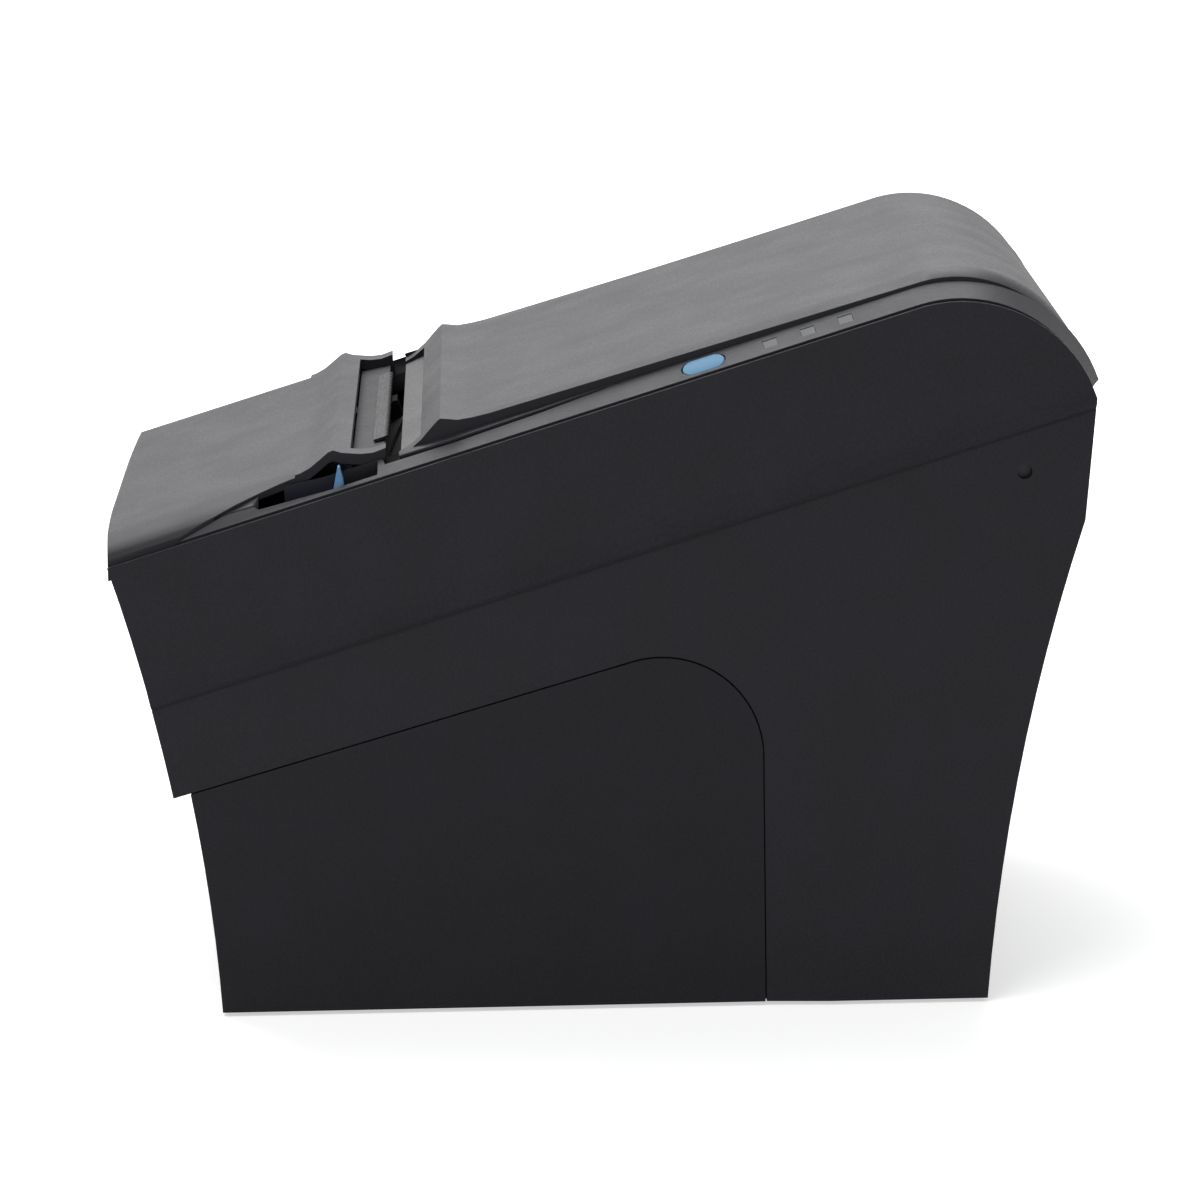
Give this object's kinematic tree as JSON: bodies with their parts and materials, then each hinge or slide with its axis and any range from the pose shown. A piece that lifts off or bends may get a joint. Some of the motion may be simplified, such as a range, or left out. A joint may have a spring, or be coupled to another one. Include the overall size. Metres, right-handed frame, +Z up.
{
  "type": "receipt printer",
  "caption": "Wedge-shaped desktop thermal receipt printer with a sloping lift-up paper cover, cover lever, feed button, auto-cutter and rear connector bay",
  "frame": {"origin": "centre of the footprint, on the plane the rubber feet rest on", "axes": "+Z up; +Y towards the rear (hinge and connectors); -Y is the low front end; +X is the side with the lever and the feed button"},
  "size_m": [0.145, 0.1966, 0.1455],
  "materials": {
    "housing": "fine textured",
    "base_case": "fine textured",
    "rubber_feet": "matt rubber",
    "case_screws": "plain steel",
    "top_bezel": "fine textured",
    "front_cover": "fine textured",
    "feed_button": "satin, light blue",
    "lamp_lenses": "translucent window",
    "panel_board": "circuit board",
    "paper_cover": "fine textured",
    "cover_liner": "satin moulded",
    "hinge_pins": "plain steel",
    "slot_panel": "satin moulded",
    "fixed_blade": "plain steel",
    "blade_holder": "satin moulded",
    "platen_roller": "matt rubber",
    "platen_shaft": "plain steel",
    "platen_bushes": "acetal",
    "platen_gear": "acetal",
    "idler_gear": "acetal",
    "idler_post": "plain steel",
    "motor_pinion": "plain brass",
    "feed_motor": "plated steel can",
    "chassis": "zinc-plated sheet",
    "latch": "acetal",
    "open_lever": "satin, pale blue",
    "lever_pivot": "plain steel",
    "thermal_head": "glazed ceramic",
    "head_plate": "cast",
    "head_springs": "plain steel",
    "spring_beam": "zinc-plated sheet",
    "cutter_frame": "zinc-plated sheet",
    "cutter_blade": "plain steel",
    "cutter_gear": "acetal",
    "cutter_pinion": "plain brass",
    "cutter_motor": "plated steel can",
    "mouth_plate": "satin moulded",
    "tear_bar": "plain steel",
    "paper_well": "satin moulded",
    "paper_sensor": "moulded",
    "main_board": "circuit board",
    "board_screws": "plain steel",
    "board_parts": "moulded",
    "interface_panel": "zinc-plated sheet",
    "power_inlet": "moulded",
    "inlet_pins": "plain brass",
    "drawer_port": "moulded",
    "usb_port": "plated shell",
    "serial_port": "plated shell",
    "serial_pins": "plain brass",
    "switch_body": "moulded",
    "power_rocker": "moulded"
  },
  "bodies": {
    "case": {"housing": "housing", "base_case": "base_case", "rubber_feet": "rubber_feet", "case_screws": "case_screws", "top_bezel": "top_bezel", "lamp_lenses": "lamp_lenses", "panel_board": "panel_board", "hinge_pins": "hinge_pins", "idler_post": "idler_post", "feed_motor": "feed_motor", "chassis": "chassis", "lever_pivot": "lever_pivot", "head_springs": "head_springs", "spring_beam": "spring_beam", "cutter_frame": "cutter_frame", "cutter_motor": "cutter_motor", "mouth_plate": "mouth_plate", "tear_bar": "tear_bar", "paper_well": "paper_well", "paper_sensor": "paper_sensor", "main_board": "main_board", "board_screws": "board_screws", "board_parts": "board_parts", "interface_panel": "interface_panel", "power_inlet": "power_inlet", "inlet_pins": "inlet_pins", "drawer_port": "drawer_port", "usb_port": "usb_port", "serial_port": "serial_port", "serial_pins": "serial_pins", "switch_body": "switch_body"},
    "hood": {"front_cover": "front_cover"},
    "cover": {"paper_cover": "paper_cover", "cover_liner": "cover_liner", "slot_panel": "slot_panel", "fixed_blade": "fixed_blade", "blade_holder": "blade_holder", "platen_bushes": "platen_bushes"},
    "platen": {"platen_roller": "platen_roller", "platen_shaft": "platen_shaft", "platen_gear": "platen_gear"},
    "idler": {"idler_gear": "idler_gear"},
    "feed_drive": {"motor_pinion": "motor_pinion"},
    "latch": {"latch": "latch"},
    "lever": {"open_lever": "open_lever"},
    "head": {"thermal_head": "thermal_head", "head_plate": "head_plate"},
    "blade": {"cutter_blade": "cutter_blade"},
    "cutter_wheel": {"cutter_gear": "cutter_gear"},
    "cutter_drive": {"cutter_pinion": "cutter_pinion"},
    "button": {"feed_button": "feed_button"},
    "rocker": {"power_rocker": "power_rocker"}
  },
  "joints": [
    {"name": "cover_hinge", "type": "hinge", "parent": "case", "child": "cover", "pos_m": [0, 0.0835, 0.1068], "axis": [-1, 0, 0], "range_deg": [0, 75]},
    {"name": "hood_slide", "type": "slide", "parent": "case", "child": "hood", "axis": [0, -0.9568, -0.2907], "range_m": [0, 0.02]},
    {"name": "platen_spin", "type": "hinge", "parent": "cover", "child": "platen", "pos_m": [0, -0.02853, 0.09412], "axis": [1, 0, 0], "continuous": true},
    {"name": "idler_spin", "type": "hinge", "parent": "case", "child": "idler", "pos_m": [0, -0.03562, 0.07628], "axis": [1, 0, 0], "continuous": true},
    {"name": "feed_drive_spin", "type": "hinge", "parent": "case", "child": "feed_drive", "pos_m": [0, -0.05074, 0.07243], "axis": [1, 0, 0], "continuous": true},
    {"name": "latch_swing", "type": "hinge", "parent": "case", "child": "latch", "pos_m": [0, -0.02713, 0.07385], "axis": [1, 0, 0], "range_deg": [0, 20]},
    {"name": "lever_swing", "type": "hinge", "parent": "case", "child": "lever", "pos_m": [0, -0.053, 0.0855], "axis": [1, 0, 0], "range_deg": [0, 20], "stiffness_Nm_per_rad": 0.03, "springref_deg": -22.92},
    {"name": "head_swing", "type": "hinge", "parent": "case", "child": "head", "pos_m": [0, -0.03417, 0.08018], "axis": [1, 0, 0], "range_deg": [0, 2.5], "stiffness_Nm_per_rad": 2, "springref_deg": -4.58},
    {"name": "cutter_wheel_spin", "type": "hinge", "parent": "case", "child": "cutter_wheel", "pos_m": [-0.018, -0.05989, 0.10257], "axis": [0, -0.2907, 0.9568], "range_deg": [0, 72]},
    {"name": "blade_slide", "type": "slide", "parent": "case", "child": "blade", "axis": [0, 0.9568, 0.2907], "range_m": [0, 0.006]},
    {"name": "cutter_drive_spin", "type": "hinge", "parent": "case", "child": "cutter_drive", "pos_m": [-0.006, -0.05989, 0.10257], "axis": [0, -0.2907, 0.9568], "range_deg": [-215.5, 0]},
    {"name": "button_press", "type": "slide", "parent": "case", "child": "button", "axis": [0, 0.2907, -0.9568], "range_m": [0, 0.0008], "stiffness_N_per_m": 600, "springref_m": -0.0006},
    {"name": "rocker_tilt", "type": "hinge", "parent": "case", "child": "rocker", "pos_m": [-0.048, 0.0544, 0.0135], "axis": [0, 0, -1], "range_deg": [0, 12]}
  ],
  "couplings": [
    {"joint": "idler_spin", "follows": "platen_spin", "ratio": -0.6},
    {"joint": "feed_drive_spin", "follows": "platen_spin", "ratio": 2},
    {"joint": "latch_swing", "follows": "lever_swing", "ratio": 1},
    {"joint": "cutter_wheel_spin", "follows": "blade_slide", "rad_per_m": 208.33},
    {"joint": "cutter_drive_spin", "follows": "blade_slide", "rad_per_m": -625}
  ]
}
